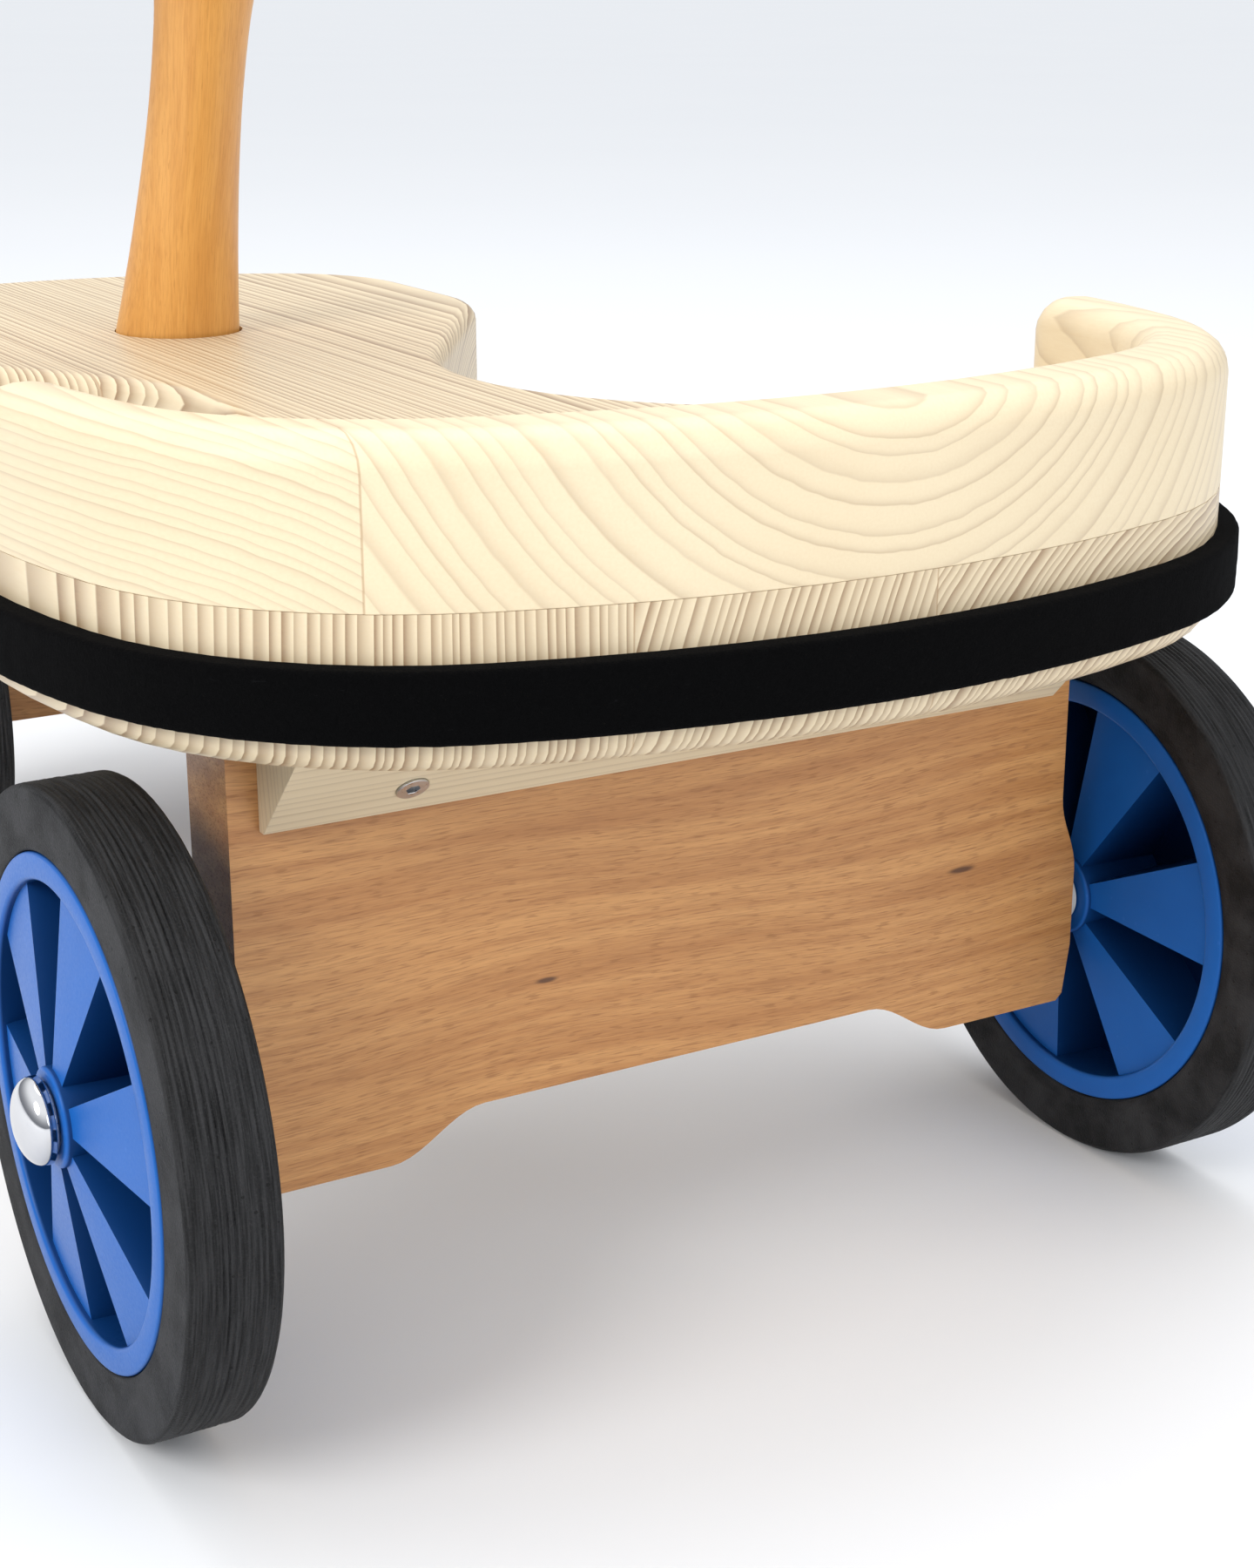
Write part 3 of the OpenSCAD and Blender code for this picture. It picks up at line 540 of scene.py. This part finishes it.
def nylon():
    f = Finish("natural nylon", rough=0.45)
    grain = f.use(GRIT, Place=f.place, Size=0.0007)
    f.colour(f.mix(grain["Grit"], shade(0.66, 0.66, 0.62), shade(0.78, 0.77, 0.73)))
    f.roughness(f.span(grain["Grit"], 0.0, 1.0, 0.4, 0.55))
    f.bump(grain["Grit"], 0.00004, 0.4)
    return f.material


PLATE_PINE = pine(
    "plate pine",
    [
        (-1.0, 0.40, 0.021, 0.0021),
        (-0.060, 0.30, -0.079, 0.0025),
        (0.0127, 0.130, -0.060, 0.0022),
        (0.125, -0.06, -0.149, 0.0028),
    ],
    late=1.0,
    sharp=1.25,
)
RIM_PINE = pine(
    "rim pine",
    [(-1.0, -0.170, -0.049, 0.0024), (-0.112, 0.004, 0.113, 0.0050)],
    late=0.50,
    wander=0.010,
)
CLEAT_PINE = pine("cleat pine", [(-1.0, 0.03, -0.049, 0.0022)], along="X", late=0.5)
BOARD_BEECH = beech(
    "board beech",
    shade(0.575, 0.290, 0.102),
    shade(0.435, 0.194, 0.061),
    shade(0.190, 0.066, 0.019),
    density=0.8,
    knots=[
        ((0.0874, rear_axle_at.y, rear_axle_at.z + 0.0190), (0.0060, 0.0012)),
        ((-0.0404, rear_axle_at.y, rear_axle_at.z + 0.0132), (0.0042, 0.0010)),
    ],
)
HONEY = (shade(0.715, 0.362, 0.093), shade(0.620, 0.286, 0.060), shade(0.430, 0.170, 0.030))
TURNED_BEECH = beech("turned beech", *HONEY, along="post", density=0.3)
HANDLE_BEECH = beech("handle beech", *HONEY, density=0.3)
DOWEL_BEECH = beech(
    "dowel beech",
    shade(0.66, 0.42, 0.20),
    shade(0.55, 0.32, 0.14),
    shade(0.30, 0.15, 0.06),
    along="Z",
)
RUBBER = rubber()
HUB_BLUE = hub_plastic()
FELT = felt()
STEEL = metal("screw steel", shade(0.72, 0.73, 0.74), shade(0.50, 0.51, 0.52), 0.28)
AXLE_STEEL = metal(
    "axle steel", shade(0.62, 0.63, 0.64), shade(0.42, 0.43, 0.44), 0.3, brushed=True
)
CHROME = metal("polished cap", shade(0.66, 0.66, 0.67), shade(0.60, 0.60, 0.62), 0.08)
NYLON = nylon()


# ---------------------------------------------------------------- wheels

def wheel_place(wheel):
    """Z runs outward along the axle, X points rearward."""
    centre = middle(wheel + "_tyre")
    out = 1 if centre.x > 0 else -1
    turn = Matrix(((0, 0, out), (-1, 0, 0), (0, -out, 0))).to_4x4()
    return Matrix.Translation(centre) @ turn, out


def half_width(node):
    low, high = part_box(node)
    return (high.x - low.x) / 2


def half_height(node):
    low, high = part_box(node)
    return (high.z - low.z) / 2


# The front wheels lie square to X like the rear ones, and all four are alike.
tyre_half = half_width("rear_left_tyre")
tyre_r = half_height("rear_left_tyre")
flange_r = half_height("rear_left_hub")
flange_deep = 3.4 * MM
barrel_wall = 3.3 * MM
bead_r = flange_r - flange_deep
barrel_r = bead_r - barrel_wall
boss_r = 12 * MM
bore_r = 4.1 * MM


def tread(flat, grooves=12):
    """Moulded grooves round a tyre, each of its own depth, as (radius, height) points."""
    depths = random.Random(4)
    pitch = 2 * flat / grooves
    points = []
    for k in range(grooves):
        left = -flat + k * pitch
        deep = depths.uniform(0.16, 0.50) * MM
        for share, part in ((0.0, 1.0), (0.16, 0.85), (0.34, 0.1), (0.55, 0.0), (0.78, 0.12)):
            points.append((tyre_r - deep * part, left + share * pitch))
    return points + [(tyre_r - 0.2 * MM, flat)]


def make_tyre(wheel):
    half = tyre_half
    seat = bead_r + 0.05 * MM
    inner = flange_r + 0.15 * MM
    shoulder = 1.8 * MM
    groove = 2.5 * MM
    curl = 0.8 * MM
    curl_start, curl_centre = half - 0.9 * MM, half - 1.1 * MM
    flank_in, flank_out = inner + 5 * MM, tyre_r - shoulder - 2 * MM
    flank = half - 0.05 * MM
    profile = (
        [(seat, -half + groove), (inner, -half + groove), (inner, -curl_start)]
        + arc((inner + curl, -curl_centre), curl, 180, 262, 4)
        + [(flank_in, -flank), (flank_out, -half)]
        + arc((tyre_r - shoulder, -half + shoulder), shoulder, -90, -12, 6)
        + tread(half - shoulder)
        + arc((tyre_r - shoulder, half - shoulder), shoulder, 12, 90, 6)
        + [(flank_out, half), (flank_in, flank)]
        + arc((inner + curl, curl_centre), curl, 98, 180, 4)
        + [(inner, curl_start), (inner, half - groove), (seat, half - groove)]
    )
    obj = lathe(wheel + "_tyre_finished", profile, 288)
    place, _ = wheel_place(wheel)
    seed = Vector((WHEELS.index(wheel) * 3.1, 0.0, 0.0))
    for v in obj.data.vertices:
        around = math.hypot(v.co.x, v.co.y)
        if around > tyre_r - 1.2 * MM:
            streak = noise.noise(Vector((v.co.x * 60, v.co.y * 60, v.co.z * 1500)) + seed)
            fine = noise.noise(v.co * 1700 + seed)
            inward = 1 - (0.14 + 0.12 * streak + 0.06 * fine) * MM / around
            v.co.x *= inward
            v.co.y *= inward
            sway = Vector((v.co.x * 38, v.co.y * 38, v.co.z * 300)) - seed
            v.co.z += 0.10 * MM * noise.noise(sway)
    tidy_normals(obj, 60)
    obj.matrix_world = place
    return hold(obj, wheel + "_tyre", RUBBER)


def smooth(u):
    u = max(0.0, min(1.0, u))
    return u * u * (3 - 2 * u)


def corrugated_disc(name, phase, inner_r, outer_r, half):
    """Six flat wedges that face outward, and between them six that face inward."""
    wedges, steps = 12, 12
    wall = 2.4 * MM
    boss_high, rim_high_z = half + 3.0 * MM, half - 2.0 * MM
    hollow = 0.085
    cut = 0.9 * MM
    run = 0.55 * MM
    radii = [inner_r + (outer_r - inner_r) * i / steps for i in range(steps + 1)]
    sector = math.radians(360 / wedges)
    blends = (-1.0, -0.5, 0.0, 0.5, 1.0)
    inner = (-0.92, -0.8, -0.62, -0.4, -0.2, 0.0, 0.2, 0.4, 0.62, 0.8, 0.92)

    def level(r):
        share = (r - inner_r) / (outer_r - inner_r)
        return boss_high + (rim_high_z - boss_high) * share

    def height(skin, proud, u, r):
        if skin > 0:
            if proud:
                return level(r)
            return -level(r) + wall + hollow * r * u * u
        if proud:
            return level(r) - wall
        return -level(r)

    def column(skin, r):
        points = []
        for k in range(wedges):
            proud = k % 2 == 0
            start = phase + (k - 0.5) * sector
            shift = skin * cut * (-1 if proud else 1)
            for b in blends:
                a = start + (shift + b * run) / r
                before = height(skin, not proud, 1.0, r)
                after = height(skin, proud, -1.0, r)
                points.append((a, before + (after - before) * smooth((b + 1) / 2)))
            low = start + (shift + run) / r
            high = start + sector + (-shift - run) / r
            for u in inner:
                a = (low + high) / 2 + u * (high - low) / 2
                points.append((a, height(skin, proud, u, r)))
        return points

    verts, faces = [], []
    per = wedges * (len(blends) + len(inner))
    for skin in (1, -1):
        for r in radii:
            for a, z in column(skin, r):
                verts.append((r * math.cos(a), r * math.sin(a), z))
    rows = len(radii)
    for s in (0, 1):
        base = s * rows * per
        for i in range(rows - 1):
            for k in range(per):
                m = (k + 1) % per
                near, far = base + i * per, base + (i + 1) * per
                quad = (near + k, far + k, far + m, near + m)
                faces.append(quad if s == 0 else quad[::-1])
    for i, flip in ((0, True), (rows - 1, False)):
        for k in range(per):
            m = (k + 1) % per
            a, b = i * per, rows * per + i * per
            quad = (a + k, b + k, b + m, a + m)
            faces.append(quad[::-1] if flip else quad)
    return new_object(name, verts, faces)


def make_hub(wheel):
    place, _ = wheel_place(wheel)
    half = tyre_half
    lip = 1.3 * MM
    soft = 0.9 * MM
    channel = half - 2.2 * MM
    top = (
        [(flange_r, channel)]
        + arc((flange_r - soft, half - soft), soft, 0, 78, 4)
        + arc((barrel_r + lip, half - lip + 0.1 * MM), lip, 96, 180, 6)
    )
    bottom = [(r, -z) for r, z in reversed(top)]
    rim = lathe("rim", [(bead_r, -channel), (bead_r, channel)] + top + bottom, 192)
    boss_z = half_width("rear_left_hub")
    edge = 1 * MM
    ease = 0.5 * MM
    boss = lathe(
        "boss",
        [(bore_r, boss_z - ease), (bore_r + ease, boss_z)]
        + arc((boss_r - edge, boss_z - edge), edge, 90, 0, 4)
        + arc((boss_r - edge, -boss_z + edge), edge, 0, -90, 4)
        + [(bore_r + ease, -boss_z), (bore_r, -boss_z + ease)],
        72,
    )
    turn = math.radians(HUB_TURN[wheel])
    disc = corrugated_disc("disc", turn, boss_r - edge, barrel_r + 0.4 * MM, half)
    for part in (rim, boss, disc):
        tidy_normals(part, 50)
    hub = joined(wheel + "_hub_finished", [rim, boss, disc])
    hub.matrix_world = place
    return hold(hub, wheel + "_hub", HUB_BLUE)


def make_cap(wheel):
    low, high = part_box(wheel + "_cap")
    place, out = wheel_place(wheel)
    centre = middle(wheel + "_tyre")
    inner_x, outer_x = (low.x, high.x) if out > 0 else (high.x, low.x)
    base, tip = abs(inner_x - centre.x), abs(outer_x - centre.x)
    r = (high.z - low.z) / 2
    skirt = 1.6 * MM
    rise = tip - base - skirt
    socket_r, socket_end = 4.2 * MM, tip - 2.6 * MM
    edge = 0.3 * MM
    centre_r = 0.01 * MM
    steps = 14
    dome = [
        (r * math.cos(a) ** 0.92, base + skirt + rise * math.sin(a))
        for a in (math.pi / 2 * i / steps for i in range(steps))
    ]
    profile = (
        [(socket_r, socket_end), (socket_r, base), (r - edge, base), (r, base + edge)]
        + dome
        + [(centre_r, tip), (centre_r, socket_end)]
    )
    cap = lathe(wheel + "_cap_finished", profile, 96)
    tidy_normals(cap, 40)
    cap.matrix_world = place
    return hold(cap, wheel + "_cap", CHROME)


# ---------------------------------------------------------------- felt strip

def felt_outline():
    """The CAD strip's outer path from one end round the tail to the other."""
    bm = bmesh.new()
    bm.from_mesh(frame["nodes"]["felt_bumper"].data)
    bmesh.ops.remove_doubles(bm, verts=bm.verts, dist=WELD)
    bmesh.ops.dissolve_limit(
        bm, angle_limit=math.radians(0.2), verts=bm.verts, edges=bm.edges, delimit=set()
    )
    top = max(bm.faces, key=lambda f: (round(f.calc_center_median().z, 5), f.calc_area()))
    loop = [v.co.copy() for v in top.verts]
    bm.free()
    n = len(loop)

    def is_end(i):
        length = (loop[i] - loop[(i + 1) % n]).length
        return abs(length - FELT_THICK) < 0.05 * MM and loop[i].y > rear_axle_at.y

    ends = [i for i in range(n) if is_end(i)]
    first, second = ends[0], ends[-1]
    side_a = [loop[(first + 1 + k) % n] for k in range((second - first) % n)]
    side_b = [loop[(second + 1 + k) % n] for k in range((first - second) % n)]
    return max((side_a, side_b), key=lambda s: max(p.x for p in s))


def make_felt():
    low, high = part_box("felt_bumper")
    outer = felt_outline()
    thick, tall = FELT_THICK, high.z - low.z
    step = 1.5 * MM
    easing_passes = 12
    path = []
    for a, b in zip(outer, outer[1:]):
        count = max(1, round((b - a).length / step))
        path += [a.lerp(b, k / count) for k in range(count)]
    path.append(outer[-1])
    for _ in range(easing_passes):
        eased = [(a + b * 2 + c) / 4 for a, b, c in zip(path, path[1:], path[2:])]
        path = [path[0]] + eased + [path[-1]]
    soft = 1.5 * MM
    inside = Vector((0.0, rear_axle_at.y + 0.03, 0.0))
    section = (
        [(0.0, 0.0)]
        + arc((thick - soft, soft), soft, -90, 0, 4)
        + [(thick, tall * s) for s in (0.2, 0.3, 0.4, 0.5, 0.6, 0.7, 0.8)]
        + arc((thick - soft, tall - soft), soft, 0, 90, 4)
        + [(0.0, tall)]
    )
    verts, faces = [], []
    for k, p in enumerate(path):
        ahead = path[min(k + 1, len(path) - 1)] - path[max(k - 1, 0)]
        out = Vector((ahead.y, -ahead.x, 0)).normalized()
        if out.dot(Vector((p.x, p.y, 0)) - inside) < 0:
            out = -out
        for depth, up in section:
            at = p + out * (depth - thick)
            at.z = low.z + up
            if depth > 0:
                fuzz = noise.noise(at * 260) * 0.16 + noise.noise(at * 900) * 0.10
                at += out * (fuzz - 0.26) * MM
                at.z += noise.noise(at * 500) * 0.12 * MM
            verts.append(at)
    ring = len(section)
    for k in range(len(path) - 1):
        for m in range(ring):
            q = (m + 1) % ring
            faces.append((k * ring + m, (k + 1) * ring + m, (k + 1) * ring + q, k * ring + q))
    faces.append(tuple(range(ring)))
    faces.append(tuple((len(path) - 1) * ring + m for m in reversed(range(ring))))
    obj = tidy_normals(new_object("felt_bumper_finished", verts, faces), 50)
    hold(obj, "felt_bumper", FELT)
    return obj


# ---------------------------------------------------------------- assembly

finished("seat_plate", PLATE_PINE, edge=0.8 * MM)
finished("backrest_rim", RIM_PINE, edge=0.3 * MM)
for node in ("rear_cleat", "inner_cleat", "front_board_rear_cleat", "front_board_front_cleat"):
    finished(node, CLEAT_PINE, edge=0.5 * MM)
finished("steering_wedge", PLATE_PINE, edge=0.8 * MM)
for node in ("rear_axle_board", "front_axle_board", "turntable"):
    finished(node, BOARD_BEECH, edge=1.0 * MM, steps=3)
finished("steering_post", TURNED_BEECH, edge=0.5 * MM)
for node in ("left_handle", "right_handle"):
    finished(node, HANDLE_BEECH, edge=0.3 * MM)
for node in ("rim_dowels", "rear_board_dowels", "post_cross_pin"):
    finished(node, DOWEL_BEECH, edge=0.3 * MM)
for node in ("rear_cleat_screws", "wedge_screws", "front_cleat_screws"):
    finished(node, STEEL, edge=0.2 * MM)
for node in ("rear_axle", "front_axle"):
    finished(node, AXLE_STEEL, edge=0.4 * MM)
for node in ("upper_slide_washer", "lower_slide_washer"):
    finished(node, NYLON, edge=0.2 * MM)
for wheel in WHEELS:
    make_tyre(wheel)
    make_hub(wheel)
    make_cap(wheel)
    finished(wheel + "_spacer", NYLON, edge=0.3 * MM)
    finished(wheel + "_washer", AXLE_STEEL, edge=0.2 * MM)
make_felt()


# ---------------------------------------------------------------- studio

def make_floor():
    f = Finish("studio floor", rough=0.7, Specular_IOR_Level=0.0)
    cloud = f.noise(f.place, 1.6, 2)
    f.colour(f.mix(cloud, shade(0.735, 0.745, 0.765), shade(0.750, 0.758, 0.775)))
    half = 60.0  # metres, so far out that its edge is seldom seen
    corners = [(-half, -half, 0), (half, -half, 0), (half, half, 0), (-half, half, 0)]
    floor = new_object("floor", corners, [(0, 1, 2, 3)])
    floor.data.materials.append(f.material)


def studio_air():
    """A bright ceiling that dims towards the horizon."""
    world = bpy.data.worlds.new("studio air")
    world.use_nodes = True
    t = Tree(world.node_tree)
    back = world.node_tree.nodes["Background"]
    _, _, up = t.xyz(t.add("ShaderNodeTexCoord").outputs["Generated"])
    ceiling = t.span(up, 0.0, 0.7, smooth=True)
    t.put(back.inputs["Color"], t.mix(ceiling, shade(0.20, 0.21, 0.235), shade(0.96, 0.98, 1.0)))
    back.inputs["Strength"].default_value = 1.30
    bpy.context.scene.world = world


def soft_light(name, at, target, size, power, colour=(1, 1, 1)):
    light = bpy.data.lights.new(name, "AREA")
    light.shape = "DISK"
    light.size = size
    light.energy = power
    light.color = colour
    obj = bpy.data.objects.new(name, light)
    bpy.context.scene.collection.objects.link(obj)
    obj.location = at
    obj.rotation_euler = (Vector(target) - Vector(at)).to_track_quat("-Z", "Y").to_euler()


def studio():
    bpy.context.scene.view_settings.view_transform = "Standard"
    make_floor()
    studio_air()
    seat = (0, -0.1, 0.15)
    soft_light("key", (-1.9, -0.8, 1.5), seat, 1.1, 29, (1.0, 0.985, 0.96))
    soft_light("overhead", (0.2, 0.5, 2.3), seat, 1.8, 15)
    soft_light("front fill", (0.5, -2.4, 0.9), seat, 1.5, 15)


def camera():
    data = bpy.data.cameras.new("camera")
    data.lens = CAMERA_LENS
    data.sensor_width = 36
    obj = bpy.data.objects.new("camera", data)
    bpy.context.scene.collection.objects.link(obj)
    obj.location = rear_axle_at + CAMERA_FROM_AXLE
    obj.rotation_euler = (math.radians(90 - CAMERA_DIP), 0, math.radians(-CAMERA_TURN))
    data.clip_start = 0.01
    bpy.context.scene.camera = obj


studio()
camera()

bpy.context.view_layer.update()
